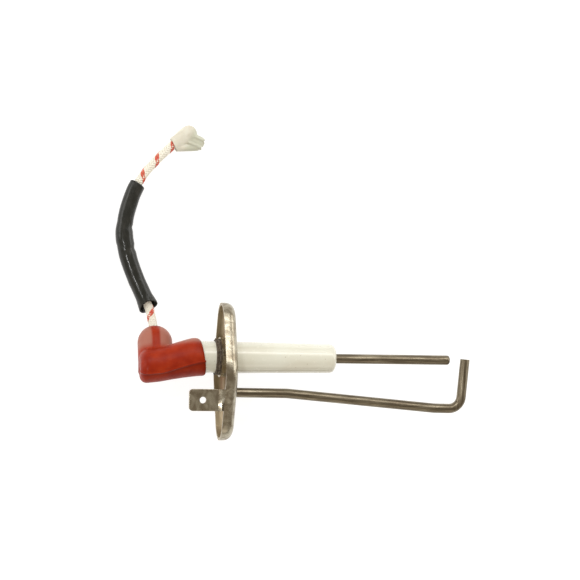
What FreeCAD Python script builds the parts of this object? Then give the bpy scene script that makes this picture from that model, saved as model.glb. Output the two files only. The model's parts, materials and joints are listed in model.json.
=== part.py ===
import FreeCAD, Part
import math
import os

# Flame sensing electrode with an earth rod on a pressed flange, an elbow boot and a short lead.
#
# Millimetres. The origin is the centre of the bolt pattern on the flange's mounting face.
# +X runs along the rods towards the flame, +Y along the flange's long axis. +Z is up when the
# part lies on the flange's long edge, and the lead lies on the same surface.

Vector = FreeCAD.Vector
X_AXIS = Vector(1, 0, 0)
Z_AXIS = Vector(0, 0, 1)

# Mounting flange: a pressed oval cup, open to the rear
SHEET = 0.8
FLANGE_LENGTH = 40.0
FLANGE_WIDTH = 23.0
FLANGE_END_RADIUS = 6.5
FLANGE_DEPTH = 3.75
RIM_BEND = 2.6
BOLT_SPACING = 27.0
BOLT_HOLE_RADIUS = 2.15

# Electrode: ceramic tube with a rod through it and a stud at its rear end
PROBE_Y = 4.15
CERAMIC_RADIUS = 4.62
CERAMIC_TIP_RADIUS = 4.2
CERAMIC_REAR_X = -13.5
CERAMIC_TIP_X = 30.2
TIP_ROUNDING = 1.7
REAR_CHAMFER = 0.6
ROD_RADIUS = 1.4
ROD_TIP_X = 64.9
ROD_BORE_RADIUS = 1.5
STUD_RADIUS = 1.6
STUD_FRONT_X = -10.0
STUD_REAR_X = -18.2
STUD_BORE_RADIUS = 1.66
ROD_END_ROUNDING = 0.85
STUD_CHAMFER = 0.4
TIP_CEMENT_RADIUS = 2.3
TIP_CEMENT_DEPTH = 2.6
CEMENT_RECESS = 0.5
REAR_CEMENT_RADIUS = 2.8
REAR_CEMENT_DEPTH = 2.0

# Drawn collar round the ceramic and the packing ring in it
HOLE_CLEARANCE = 0.05
COLLAR_RADIUS = 5.8
COLLAR_REAR_X = -4.0
PACKING_RADIUS = 5.15
PACKING_REAR_X = -5.7
PACKING_CHAMFER = 0.3

# Earth rod: fixed in the flange, leaning away from the probe, hooked in front of its tip
EARTH_Y = -6.05
EARTH_REAR_X = -2.2
EARTH_ROUTE = [(EARTH_REAR_X, EARTH_Y), (16.0, EARTH_Y - 0.1), (60.5, -10.05), (68.4, -10.15), (69.65, 4.45)]
EARTH_BENDS = [12.0, 12.0, 3.7]
WELD_RADIUS = 2.6
WELD_HEIGHT = 1.2
WELD_BORE_RADIUS = 1.43
WELD_SHOULDER = (0.3, 0.4)      # how far the weld's bulge lies inside its edge, and its top outside its bore

# Earth tab: a standard 6.3 x 0.8 blade, joggled off the flange's rim
TAB_WIDTH = 6.3
TAB_Y = -7.9
TAB_Z = 9.3
TAB_END_X = -14.1
TAB_BEND_X = -5.6
TAB_CORNER = 1.1
TAB_EDGE = 0.18
TAB_HOLE_RADIUS = 0.95
TAB_HOLE_X = -10.1
TAB_OVERLAP = 0.5               # how far the joggle starts inside the rim
TAB_RISE = 0.9                  # from the flat blade back to the joggle's middle
TAB_RISE_HEIGHT = (0.75, 0.15)  # the middle's height over the blade on its two sides

# Elbow boot: a mouth on the ceramic's axis, a body that droops behind it, and a domed side spout
# whose axis passes under the body's
BOOT_MOUTH_X = -8.8
BOOT_MOUTH_Y = 4.05
BOOT_MOUTH_RADIUS = 5.55
BOOT_MOUTH_END_X = -11.5
BOOT_LIP = 0.7
BOOT_NECK = Vector(-11.0, 3.85, 0)
BOOT_NECK_RADIUS = 5.5
BOOT_BODY_RADIUS = 5.05
BOOT_TAPER_LENGTH = 9.0
BOOT_BODY_LENGTH = 16.6
BOOT_END_ROUNDING = 2.4
BOOT_DROOP = 11.0
SPOUT_RADIUS = 5.05
SPOUT_START = -1.6
SPOUT_DOME = 6.8
SPOUT_FACE = 11.3
SPOUT_FLARE_DEPTH = 2.5
SPOUT_FLARE_GAP = 0.15
BOOT_GRIP = 0.05
CLIP_CAVITY_RADIUS = 2.45
CAVITY_GAP = 0.1

# Snap clip in the boot, and the spring ring in its groove
CLIP_RADIUS = 2.4
CLIP_BORE_RADIUS = 1.66
CLIP_FRONT_X = -14.2
CLIP_REAR_X = -18.9
CLIP_BACK = 0.5
RING_X = -16.5
RING_LENGTH = 0.6
RING_INNER_RADIUS = 1.68
RING_OUTER_RADIUS = 2.0
RING_SIDE_GAP = 0.05
RING_SLIT = 0.8
STRAP_Y = (1.0, 4.6)
STRAP_Z = (-2.3, -1.7)
CRIMP_RADIUS = 1.15
CRIMP_START = -0.9
CRIMP_END = 3.0

# Lead: two lengths of braided wire joined inside a sleeve
WIRE_RADIUS = 1.3
CORE_RADIUS = 0.6
WIRE_START = 5.0
CORE_END = 1.9
LEAD_ROUTE = [
    (-22.1, 6.24, -5.11),
    (-22.1, 15.4, -8.9),
    (-26.7, 24.2, -9.0),
    (-29.9, 32.0, -9.0),
    (-31.6, 39.6, -9.0),
    (-30.6, 46.4, -9.0),
    (-27.9, 54.2, -9.0),
    (-22.7, 61.0, -9.3),
    (-16.3, 66.85, -9.4),
]
ARC_SHARE = 0.45
SPLICE_START = 30.7
SPLICE_LENGTH = 6.6
SPLICE_RADIUS = 1.75
SPLICE_GAP = 0.6
SLEEVE_START = 12.9
SLEEVE_LENGTH = 37.7
SLEEVE_RADIUS = 2.45
SLEEVE_BORE_RADIUS = 1.9

# Receptacle for a 2.8 mm blade at the lead's far end, and its insulating cover
TERMINAL_Z = -9.5
WIRE_ANGLE = 39.0
MOUTH_ANGLE = -22.0
TERMINAL_CORNER = Vector(-14.3, 68.4, TERMINAL_Z)
RECEPTACLE_START = 0.9
RECEPTACLE_END = 5.7
CURL_RADIUS = 0.85
CURL_BORE_RADIUS = 0.55
BLADE_HALF_WIDTH = 1.45
BLADE_SLOT = 0.6
FLOOR_SHEET = 0.35
GRIP_RADIUS = 1.52
GRIP_START = -1.2               # the crimps' places, from the end of the wire's insulation
GRIP_LENGTH = 1.5
CORE_CRIMP_START = 0.1
CORE_CRIMP_LENGTH = 2.1
LINK_START = -0.7
LINK_OVERLAP = 0.4
LINK_HALF_WIDTH = 0.8
COVER_SHEET = 0.35
COVER_ROUNDING = 0.45           # of the smaller side
COVER_BODY = (-4.5, 3.4, 4.2, 4.0)      # from and to along the wire, width, height
COVER_NOSE = (0.0, 5.9, 4.2, 2.7)       # from and to along the receptacle, width, height
COVER_WEB = (-3.4, 3.2, 2.2, 2.7)       # from and to along the web, width, height
COVER_WEB_CENTRE = Vector(-12.9, 65.2, TERMINAL_Z)
COVER_WEB_ANGLE = 3.0


def turned(profile, centre_y):
    """Solid turned about the line parallel to X through centre_y, from (x, radius) points."""
    points = [Vector(x, centre_y + radius, 0) for x, radius in profile]
    face = Part.Face(Part.makePolygon(points + points[:1]))
    return face.revolve(Vector(0, centre_y, 0), X_AXIS, 360)


def bar(x_from, x_to, radius, centre_y):
    """Round bar along X at centre_y."""
    low, high = sorted((x_from, x_to))
    return Part.makeCylinder(radius, high - low, Vector(low, centre_y, 0), X_AXIS)


def end_edges(shape, x):
    """Edges that lie in the plane at x."""
    return [e for e in shape.Edges if abs(e.BoundBox.XMin - x) < 0.01 and abs(e.BoundBox.XMax - x) < 0.01]


def cleaned(shape):
    """The shape's single solid, with split faces joined."""
    return shape.removeSplitter().Solids[0]


def box_between(low, high):
    """Box from its lowest corner to its highest."""
    return Part.makeBox(*(b - a for a, b in zip(low, high)), Vector(*low))


# ---- routes: straight runs joined by tangent arcs


def rounded_path(points, radii):
    """Wire along the points, with an arc of the given radius at each inner point."""
    edges = []
    start = points[0]
    for before, corner, after, radius in zip(points, points[1:], points[2:], radii):
        into = (corner - before).normalize()
        out = (after - corner).normalize()
        half = into.getAngle(out) / 2
        reach = radius * math.tan(half)
        inward = (out - into).normalize()
        arc_start = corner - into * reach
        arc_end = corner + out * reach
        middle = corner + inward * (radius / math.cos(half) - radius)
        edges.append(Part.LineSegment(start, arc_start).toShape())
        edges.append(Part.Arc(arc_start, middle, arc_end).toShape())
        start = arc_end
    edges.append(Part.LineSegment(start, points[-1]).toShape())
    return edges


def widest_radii(points):
    """Arc radii as large as the two runs beside each point allow."""
    radii = []
    for before, corner, after in zip(points, points[1:], points[2:]):
        into = corner - before
        out = after - corner
        radii.append(ARC_SHARE * min(into.Length, out.Length) / math.tan(into.getAngle(out) / 2))
    return radii


def stretch(edges, start, end):
    """The part of a path between two distances along it, as a wire."""
    kept = []
    passed = 0.0
    for edge in edges:
        low = max(start - passed, 0.0)
        high = min(end - passed, edge.Length)
        if high - low > 0.001:
            first = edge.getParameterByLength(low)
            last = edge.getParameterByLength(high)
            kept.append(edge.Curve.toShape(first, last))
        passed += edge.Length
    return Part.Wire(kept)


def swept(wire, radius):
    """Round rod along a wire."""
    first = wire.Edges[0]
    heading = first.tangentAt(first.FirstParameter)
    start = first.valueAt(first.FirstParameter)
    profile = Part.Wire(Part.makeCircle(radius, start, heading))
    return wire.makePipeShell([profile], True, True)


def tube_along(wire, outer, inner):
    """Round tube along a wire."""
    return swept(wire, outer).cut(swept(wire, inner))


# ---- flange


def oval_wire(inset, x):
    """Two-bolt oval in the plane at x: a middle circle and two end circles joined by tangents."""
    middle = FLANGE_WIDTH / 2 - inset
    end = FLANGE_END_RADIUS - inset
    end_y = FLANGE_LENGTH / 2 - FLANGE_END_RADIUS
    lean = math.asin((middle - end) / end_y)
    near = Vector(x, middle * math.sin(lean), middle * math.cos(lean))
    far = Vector(x, end_y + end * math.sin(lean), end * math.cos(lean))

    def at(point, side_y, side_z):
        return Vector(x, point.y * side_y, point.z * side_z)

    edges = []
    for side in (1, -1):
        waist = Vector(x, 0, side * middle)
        tip = Vector(x, side * (end_y + end), 0)
        edges.append(Part.Arc(at(near, -side, side), waist, at(near, side, side)).toShape())
        edges.append(Part.LineSegment(at(near, side, side), at(far, side, side)).toShape())
        edges.append(Part.Arc(at(far, side, side), tip, at(far, side, -side)).toShape())
        edges.append(Part.LineSegment(at(far, side, -side), at(near, side, -side)).toShape())
    return Part.Wire(edges)


def oval_block(inset, x_front, x_rear):
    """Oval block with its front edge rounded as the sheet's bend."""
    block = Part.Face(oval_wire(inset, x_rear)).extrude(Vector(x_front - x_rear, 0, 0))
    return block.makeFillet(RIM_BEND - inset, end_edges(block, x_front))


def rim_half_width(y):
    """Outer half width of the oval on its straight flank."""
    middle = FLANGE_WIDTH / 2
    end_y = FLANGE_LENGTH / 2 - FLANGE_END_RADIUS
    lean = math.asin((middle - FLANGE_END_RADIUS) / end_y)
    return middle / math.cos(lean) - abs(y) * math.tan(lean)


def tab_section(x, z_top, z_bottom):
    """Section of the tab across Y, its outer face at z_top on one side and z_bottom on the other."""
    y_top = TAB_Y + TAB_WIDTH / 2
    y_bottom = TAB_Y - TAB_WIDTH / 2
    return Part.makePolygon([
        Vector(x, y_top, z_top),
        Vector(x, y_bottom, z_bottom),
        Vector(x, y_bottom, z_bottom - SHEET),
        Vector(x, y_top, z_top - SHEET),
        Vector(x, y_top, z_top),
    ])


def earth_tab():
    """Blade with its joggle, from the slanted rim to a flat end."""
    rim_top = rim_half_width(TAB_Y + TAB_WIDTH / 2)
    rim_bottom = rim_half_width(TAB_Y - TAB_WIDTH / 2)
    face_z = TAB_Z + SHEET / 2
    rise_top, rise_bottom = TAB_RISE_HEIGHT
    joggle = Part.makeLoft([
        tab_section(TAB_OVERLAP - FLANGE_DEPTH, rim_top, rim_bottom),
        tab_section(-FLANGE_DEPTH, rim_top, rim_bottom),
        tab_section(TAB_BEND_X + TAB_RISE, face_z + rise_top, face_z + rise_bottom),
        tab_section(TAB_BEND_X, face_z, face_z),
    ], True, True)
    blade = box_between(
        (TAB_END_X, TAB_Y - TAB_WIDTH / 2, TAB_Z - SHEET / 2),
        (TAB_BEND_X, TAB_Y + TAB_WIDTH / 2, TAB_Z + SHEET / 2),
    )
    corners = [e for e in end_edges(blade, TAB_END_X) if abs(e.BoundBox.ZLength - SHEET) < 0.01]
    blade = blade.makeFillet(TAB_CORNER, corners)
    rims = [e for e in blade.Edges if e.BoundBox.ZLength < 0.01 and e.BoundBox.XMax < TAB_BEND_X + 0.01
            and e.BoundBox.XMin < TAB_BEND_X - 0.01]
    blade = blade.makeFillet(TAB_EDGE, rims)
    hole = Part.makeCylinder(TAB_HOLE_RADIUS, 2 * SHEET, Vector(TAB_HOLE_X, TAB_Y, TAB_Z - SHEET), Z_AXIS)
    return joggle.fuse(blade.cut(hole))


def mounting_flange():
    """Pressed cup with bolt holes, a collar for the ceramic, a hole for the earth rod and the tab."""
    cup = oval_block(0, 0, -FLANGE_DEPTH)
    cup = cup.cut(oval_block(SHEET, -SHEET, -FLANGE_DEPTH - 1))
    cup = cup.fuse(bar(-SHEET / 2, COLLAR_REAR_X, COLLAR_RADIUS, PROBE_Y))
    cup = cup.fuse(earth_tab())
    cup = cup.cut(bar(-SHEET, COLLAR_REAR_X, PACKING_RADIUS, PROBE_Y))
    cup = cup.cut(bar(SHEET, -SHEET, CERAMIC_RADIUS + HOLE_CLEARANCE, PROBE_Y))
    cup = cup.cut(bar(SHEET, -2 * SHEET, ROD_RADIUS + HOLE_CLEARANCE, EARTH_Y))
    for side in (1, -1):
        cup = cup.cut(bar(SHEET, -2 * SHEET, BOLT_HOLE_RADIUS, side * BOLT_SPACING / 2))
    return cleaned(cup)


# ---- electrode


def insulator():
    """Ceramic tube, slightly tapered to a rounded tip, counterbored at both ends for cement."""
    body = turned([
        (CERAMIC_REAR_X, 0),
        (CERAMIC_REAR_X, CERAMIC_RADIUS - REAR_CHAMFER),
        (CERAMIC_REAR_X + REAR_CHAMFER, CERAMIC_RADIUS),
        (0, CERAMIC_RADIUS),
        (CERAMIC_TIP_X, CERAMIC_TIP_RADIUS),
        (CERAMIC_TIP_X, 0),
    ], PROBE_Y)
    body = body.makeFillet(TIP_ROUNDING, end_edges(body, CERAMIC_TIP_X))
    body = body.cut(bar(CERAMIC_REAR_X, CERAMIC_TIP_X, ROD_BORE_RADIUS, PROBE_Y))
    body = body.cut(bar(CERAMIC_REAR_X, STUD_FRONT_X + CAVITY_GAP, STUD_BORE_RADIUS, PROBE_Y))
    body = body.cut(bar(CERAMIC_TIP_X - TIP_CEMENT_DEPTH, CERAMIC_TIP_X, TIP_CEMENT_RADIUS, PROBE_Y))
    body = body.cut(bar(CERAMIC_REAR_X, CERAMIC_REAR_X + REAR_CEMENT_DEPTH, REAR_CEMENT_RADIUS, PROBE_Y))
    return cleaned(body)


def probe_rod():
    """Wire rod from the stud to its rounded tip."""
    rod = bar(STUD_FRONT_X, ROD_TIP_X, ROD_RADIUS, PROBE_Y)
    return rod.makeFillet(ROD_END_ROUNDING, end_edges(rod, ROD_TIP_X))


def terminal_stud():
    """Plain stud at the rear, butted to the rod inside the ceramic."""
    stud = bar(STUD_FRONT_X, STUD_REAR_X, STUD_RADIUS, PROBE_Y)
    return stud.makeChamfer(STUD_CHAMFER, end_edges(stud, STUD_REAR_X))


def tip_cement():
    """Cement ring round the rod, a little below the ceramic's tip."""
    front = CERAMIC_TIP_X - CEMENT_RECESS
    ring = bar(CERAMIC_TIP_X - TIP_CEMENT_DEPTH, front, TIP_CEMENT_RADIUS, PROBE_Y)
    return ring.cut(bar(0, front + 1, ROD_RADIUS, PROBE_Y))


def rear_cement():
    """Cement ring round the stud at the ceramic's rear end."""
    front = CERAMIC_REAR_X + REAR_CEMENT_DEPTH
    ring = bar(CERAMIC_REAR_X, front, REAR_CEMENT_RADIUS, PROBE_Y)
    return ring.cut(bar(CERAMIC_REAR_X - 1, front + 1, STUD_RADIUS, PROBE_Y))


def collar_packing():
    """Packing ring pressed between the collar and the ceramic, standing out to the rear."""
    return turned([
        (-SHEET, CERAMIC_RADIUS),
        (-SHEET, PACKING_RADIUS),
        (PACKING_REAR_X + PACKING_CHAMFER, PACKING_RADIUS),
        (PACKING_REAR_X, PACKING_RADIUS - PACKING_CHAMFER),
        (PACKING_REAR_X, CERAMIC_RADIUS),
    ], PROBE_Y)


# ---- earth rod


def earth_rod():
    """Rod through the flange, led away from the probe and hooked up in front of its tip."""
    points = [Vector(x, y, 0) for x, y in EARTH_ROUTE]
    return swept(Part.Wire(rounded_path(points, EARTH_BENDS)), ROD_RADIUS)


def earth_rod_weld():
    """Weld fillet round the earth rod on the flange's rear face."""
    edge, top = WELD_SHOULDER
    return turned([
        (-SHEET, WELD_BORE_RADIUS),
        (-SHEET, WELD_RADIUS),
        (-SHEET - WELD_HEIGHT / 2, WELD_RADIUS - edge),
        (-SHEET - WELD_HEIGHT, WELD_BORE_RADIUS + top),
        (-SHEET - WELD_HEIGHT, WELD_BORE_RADIUS),
    ], EARTH_Y)


# ---- boot, clip and ring


def spout_direction():
    """The way that the wire leaves the boot: the lead's first run."""
    return (Vector(*LEAD_ROUTE[1]) - Vector(*LEAD_ROUTE[0])).normalize()


def on_spout(distance):
    """Point on the spout's axis, by its distance from the axis of the boot's body."""
    return Vector(*LEAD_ROUTE[0]) + spout_direction() * (distance - WIRE_START)


def spout_bar(start, end, radius):
    """Round bar along the spout's axis."""
    return Part.makeCylinder(radius, end - start, on_spout(start), spout_direction())


def boot_outside():
    """Mouth, drooping closed body and domed spout, as one solid."""
    mouth = bar(BOOT_MOUTH_X, BOOT_MOUTH_END_X, BOOT_MOUTH_RADIUS, BOOT_MOUTH_Y)
    mouth = mouth.makeFillet(BOOT_LIP, end_edges(mouth, BOOT_MOUTH_X))
    body = turned([
        (0, 0),
        (0, BOOT_NECK_RADIUS),
        (-BOOT_TAPER_LENGTH, BOOT_BODY_RADIUS),
        (-BOOT_BODY_LENGTH, BOOT_BODY_RADIUS),
        (-BOOT_BODY_LENGTH, 0),
    ], 0)
    body = body.makeFillet(BOOT_END_ROUNDING, end_edges(body, -BOOT_BODY_LENGTH))
    body.rotate(Vector(0, 0, 0), Z_AXIS, BOOT_DROOP)
    body.translate(BOOT_NECK)
    spout = spout_bar(SPOUT_START, SPOUT_DOME, SPOUT_RADIUS)
    dome = Part.makeSphere(SPOUT_RADIUS, on_spout(SPOUT_DOME))
    dome = dome.cut(spout_bar(SPOUT_FACE, SPOUT_FACE + SPOUT_RADIUS, 2 * SPOUT_RADIUS))
    return mouth.fuse([body, spout, dome])


def elbow_boot():
    """Hollow boot: a bore for the ceramic, cavities for the clip and its strap, a bore for the wire."""
    boot = boot_outside()
    grip_end = CERAMIC_REAR_X - CAVITY_GAP
    boot = boot.cut(bar(BOOT_MOUTH_X + 1, grip_end, CERAMIC_RADIUS + BOOT_GRIP, PROBE_Y))
    boot = boot.cut(bar(grip_end + 1, CLIP_REAR_X - CAVITY_GAP, CLIP_CAVITY_RADIUS, PROBE_Y))
    boot = boot.cut(strap(CAVITY_GAP))
    boot = boot.cut(spout_bar(CRIMP_START - CAVITY_GAP, SPOUT_FACE + 1, WIRE_RADIUS))
    boot = boot.cut(spout_bar(SPOUT_FACE - SPOUT_FLARE_DEPTH, SPOUT_FACE + 1, WIRE_RADIUS + SPOUT_FLARE_GAP))
    return cleaned(boot)


def strap(growth):
    """Strip that joins the clip to its crimp, grown on every side."""
    return box_between(
        (LEAD_ROUTE[0][0] - growth, STRAP_Y[0] - growth, STRAP_Z[0] - growth),
        (CLIP_REAR_X + CLIP_BACK / 2 + growth, STRAP_Y[1] + growth, STRAP_Z[1] + growth),
    )


def snap_clip():
    """Socket that snaps on the stud, its closed back strapped to a crimp on the conductor."""
    clip = bar(CLIP_FRONT_X, CLIP_REAR_X, CLIP_RADIUS, PROBE_Y)
    clip = clip.fuse(strap(0))
    clip = clip.fuse(spout_bar(CRIMP_START, CRIMP_END, CRIMP_RADIUS))
    clip = clip.cut(bar(CLIP_FRONT_X, CLIP_REAR_X + CLIP_BACK, CLIP_BORE_RADIUS, PROBE_Y))
    groove = RING_LENGTH / 2 + RING_SIDE_GAP
    clip = clip.cut(bar(RING_X - groove, RING_X + groove, RING_OUTER_RADIUS + RING_SIDE_GAP, PROBE_Y))
    return cleaned(clip.cut(spout_bar(CRIMP_START - 1, CRIMP_END + 1, CORE_RADIUS)))


def snap_ring():
    """Slit spring ring in the clip's groove, drawn open so that it clears the stud."""
    half = RING_LENGTH / 2
    ring = bar(RING_X - half, RING_X + half, RING_OUTER_RADIUS, PROBE_Y)
    ring = ring.cut(bar(RING_X - half, RING_X + half, RING_INNER_RADIUS, PROBE_Y))
    slit = box_between(
        (RING_X - RING_LENGTH, PROBE_Y, -RING_SLIT / 2),
        (RING_X + RING_LENGTH, PROBE_Y + 2 * RING_OUTER_RADIUS, RING_SLIT / 2),
    )
    return cleaned(ring.cut(slit))


# ---- lead


def path_length(edges):
    """Length of a path."""
    return sum(edge.Length for edge in edges)


def check_volume(name, shape, outer, inner, length):
    """Compare a tube's volume with its section times its length."""
    expected = math.pi * (outer ** 2 - inner ** 2) * length
    print(f"{name}: length {length:.2f}, volume {shape.Volume:.2f}, section x length {expected:.2f}")


def lead_parts():
    """Both wires and conductors, the joint between them and the sleeve over it."""
    points = [Vector(*point) for point in LEAD_ROUTE]
    radii = widest_radii(points)
    print("lead arc radii:", [round(radius, 1) for radius in radii])
    edges = rounded_path(points, radii)
    length = path_length(edges)
    joint = SPLICE_START + SPLICE_LENGTH / 2
    lower = stretch(edges, 0, joint - SPLICE_GAP / 2)
    upper = stretch(edges, joint + SPLICE_GAP / 2, length)
    splice = stretch(edges, SPLICE_START, SPLICE_START + SPLICE_LENGTH)
    sleeve = stretch(edges, SLEEVE_START, SLEEVE_START + SLEEVE_LENGTH)

    end, heading = wire_end()
    core_edges = rounded_path([on_spout(CRIMP_START)] + points[1:-1] + [end + heading * CORE_END], radii)
    core_joint = joint + WIRE_START - CRIMP_START
    core_lower = stretch(core_edges, 0, core_joint - SPLICE_GAP / 2)
    core_upper = stretch(core_edges, core_joint + SPLICE_GAP / 2, path_length(core_edges))

    parts = {
        "lead_wire_lower": tube_along(lower, WIRE_RADIUS, CORE_RADIUS),
        "lead_wire_upper": tube_along(upper, WIRE_RADIUS, CORE_RADIUS),
        "lead_core_lower": swept(core_lower, CORE_RADIUS),
        "lead_core_upper": swept(core_upper, CORE_RADIUS),
        "splice_barrel": tube_along(splice, SPLICE_RADIUS, WIRE_RADIUS),
        "insulation_sleeve": tube_along(sleeve, SLEEVE_RADIUS, SLEEVE_BORE_RADIUS),
    }
    print(f"lead length {length:.2f}")
    check_volume("lead_wire_lower", parts["lead_wire_lower"], WIRE_RADIUS, CORE_RADIUS, lower.Length)
    check_volume("lead_wire_upper", parts["lead_wire_upper"], WIRE_RADIUS, CORE_RADIUS, upper.Length)
    return parts


# ---- far end


def flat_direction(angle):
    """Unit vector in the XY plane."""
    return Vector(math.cos(math.radians(angle)), math.sin(math.radians(angle)), 0)


def wire_end():
    """Point and heading of the lead's last run."""
    end = Vector(*LEAD_ROUTE[-1])
    heading = (end - Vector(*LEAD_ROUTE[-2])).normalize()
    return end, heading


def placed(shape, angle, corner=TERMINAL_CORNER):
    """Shape drawn along +X at the origin, turned and moved to the terminal's corner."""
    shape.rotate(Vector(0, 0, 0), Z_AXIS, angle)
    shape.translate(corner)
    return shape


def receptacle():
    """Floor with two rolled curls that hold a flat blade, along +X."""
    length = RECEPTACLE_END - RECEPTACLE_START
    base_z = -CURL_RADIUS

    def roll(side, radius):
        centre = Vector(RECEPTACLE_START, side * CURL_RADIUS, 0)
        return Part.makeCylinder(radius, length, centre, X_AXIS)

    floor_low = (RECEPTACLE_START, -CURL_RADIUS, base_z)
    floor_high = (RECEPTACLE_END, CURL_RADIUS, base_z + FLOOR_SHEET)
    floor = box_between(floor_low, floor_high)
    body = roll(1, CURL_RADIUS).fuse([roll(-1, CURL_RADIUS), floor])
    for side in (1, -1):
        body = body.cut(roll(side, CURL_BORE_RADIUS))
    slot_low = (RECEPTACLE_START - 1, -BLADE_HALF_WIDTH, base_z + FLOOR_SHEET)
    slot_high = (RECEPTACLE_END + 1, BLADE_HALF_WIDTH, base_z + FLOOR_SHEET + BLADE_SLOT)
    return cleaned(body.cut(box_between(slot_low, slot_high)))


def flag_terminal():
    """Receptacle with a strap back to its crimps on the conductor and on the insulation."""
    end, heading = wire_end()
    grip_start = end + heading * GRIP_START
    grip = Part.makeCylinder(GRIP_RADIUS, GRIP_LENGTH, grip_start, heading)
    crimp = Part.makeCylinder(CRIMP_RADIUS, CORE_CRIMP_LENGTH, end + heading * CORE_CRIMP_START, heading)
    strap_low = (LINK_START, -LINK_HALF_WIDTH, -CURL_RADIUS)
    strap_high = (RECEPTACLE_START + LINK_OVERLAP, LINK_HALF_WIDTH, -CURL_RADIUS + FLOOR_SHEET)
    link = placed(box_between(strap_low, strap_high), MOUTH_ANGLE)
    terminal = grip.fuse([crimp, link, placed(receptacle(), MOUTH_ANGLE)])
    terminal = terminal.cut(Part.makeCylinder(WIRE_RADIUS, -GRIP_START, grip_start, heading))
    terminal = terminal.cut(Part.makeCylinder(CORE_RADIUS, CORE_END, end, heading))
    return cleaned(terminal)


def oval_arm(arm, inset, front, back, angle, centre=TERMINAL_CORNER):
    """Arm of the cover, drawn in by the inset: a flat bar with round sides, lengthened at its ends."""
    start, end, width, height = arm
    low = (start - back, inset - width / 2, inset - height / 2)
    high = (end + front, width / 2 - inset, height / 2 - inset)
    block = box_between(low, high)
    long_edges = [e for e in block.Edges if e.BoundBox.XLength > end - start - 1]
    smaller = min(width, height) - 2 * inset
    return placed(block.makeFillet(COVER_ROUNDING * smaller, long_edges), angle, centre)


def cover_block(inset):
    """The cover's two arms and the web between them; an inset block reaches out of both open ends."""
    mouth = 1 if inset else 0
    body = oval_arm(COVER_BODY, inset, -inset, mouth, WIRE_ANGLE)
    nose = oval_arm(COVER_NOSE, inset, mouth, 0, MOUTH_ANGLE)
    web = oval_arm(COVER_WEB, inset, -inset, -inset, COVER_WEB_ANGLE, COVER_WEB_CENTRE)
    return body.fuse([nose, web])


def terminal_cover():
    """Thin bent cover, open where the wire enters and at the receptacle's mouth."""
    return cleaned(cover_block(0).cut(cover_block(COVER_SHEET)))


def build():
    """Every piece of the object, by node name."""
    parts = {
        "mounting_flange": mounting_flange(),
        "collar_packing": collar_packing(),
        "insulator": insulator(),
        "probe_rod": probe_rod(),
        "terminal_stud": terminal_stud(),
        "tip_cement": tip_cement(),
        "rear_cement": rear_cement(),
        "earth_rod": earth_rod(),
        "earth_rod_weld": earth_rod_weld(),
        "elbow_boot": elbow_boot(),
        "snap_clip": snap_clip(),
        "snap_ring": snap_ring(),
        "flag_terminal": flag_terminal(),
        "terminal_cover": terminal_cover(),
    }
    parts.update(lead_parts())
    return parts


os.makedirs("parts", exist_ok=True)
for name, shape in build().items():
    box = shape.BoundBox
    print(f"{name}: valid {shape.isValid()}, solids {len(shape.Solids)}, volume {shape.Volume:.1f},",
          f"x {box.XMin:.1f}..{box.XMax:.1f}, y {box.YMin:.1f}..{box.YMax:.1f},",
          f"z {box.ZMin:.1f}..{box.ZMax:.1f}")
    shape.exportStep(f"parts/{name}.step")
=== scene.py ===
import bpy
import bmesh
import itertools
import json
import math
import numpy as np
from mathutils import Matrix, Vector, noise


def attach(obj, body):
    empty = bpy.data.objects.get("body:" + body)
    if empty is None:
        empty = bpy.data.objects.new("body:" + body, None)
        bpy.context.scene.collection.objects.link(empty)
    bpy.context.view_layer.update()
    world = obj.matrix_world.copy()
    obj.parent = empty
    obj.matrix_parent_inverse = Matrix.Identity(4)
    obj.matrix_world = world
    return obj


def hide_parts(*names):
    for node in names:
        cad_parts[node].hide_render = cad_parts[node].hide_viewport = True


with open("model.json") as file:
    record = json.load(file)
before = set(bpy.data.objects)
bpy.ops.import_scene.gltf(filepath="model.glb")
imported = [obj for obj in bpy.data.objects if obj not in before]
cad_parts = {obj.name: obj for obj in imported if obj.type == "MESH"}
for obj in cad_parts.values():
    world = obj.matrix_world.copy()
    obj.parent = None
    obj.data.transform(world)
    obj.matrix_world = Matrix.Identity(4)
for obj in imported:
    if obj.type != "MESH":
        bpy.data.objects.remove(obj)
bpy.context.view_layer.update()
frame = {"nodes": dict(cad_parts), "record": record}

MM = 0.001                  # plain lengths below are in millimetres; times MM they are metres
NODES = frame["nodes"]


# ---------------------------------------------------------------- camera

VIEW_POINT = Vector((16.5, 24.0, 0)) * MM
VIEW_DISTANCE = 700 * MM
VIEW_TILT = math.radians(11.2)      # towards the rear, so that the flange's hollow side shows
VIEW_ROLL = math.radians(1.1)
PICTURE_WIDTH = 169.1 * MM
SENSOR = 36.0
NEAREST = 0.01
FARTHEST = 10


def make_camera():
    """Camera above the lying part, leaning to its rear side."""
    back = Vector((-math.sin(VIEW_TILT), 0, math.cos(VIEW_TILT)))
    right = Vector((math.cos(VIEW_TILT), 0, math.sin(VIEW_TILT)))
    up = Vector((0, 1, 0))
    turned_right = right * math.cos(VIEW_ROLL) + up * math.sin(VIEW_ROLL)
    turned_up = up * math.cos(VIEW_ROLL) - right * math.sin(VIEW_ROLL)
    data = bpy.data.cameras.new("camera")
    data.sensor_width = SENSOR
    data.lens = SENSOR * VIEW_DISTANCE / PICTURE_WIDTH
    data.clip_start = NEAREST
    data.clip_end = FARTHEST
    camera = bpy.data.objects.new("camera", data)
    camera.matrix_world = Matrix.Translation(VIEW_POINT + back * VIEW_DISTANCE) @ Matrix(
        (turned_right, turned_up, back)).transposed().to_4x4()
    bpy.context.scene.collection.objects.link(camera)
    bpy.context.scene.camera = camera


make_camera()


# ---------------------------------------------------------------- the lead's line

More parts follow.
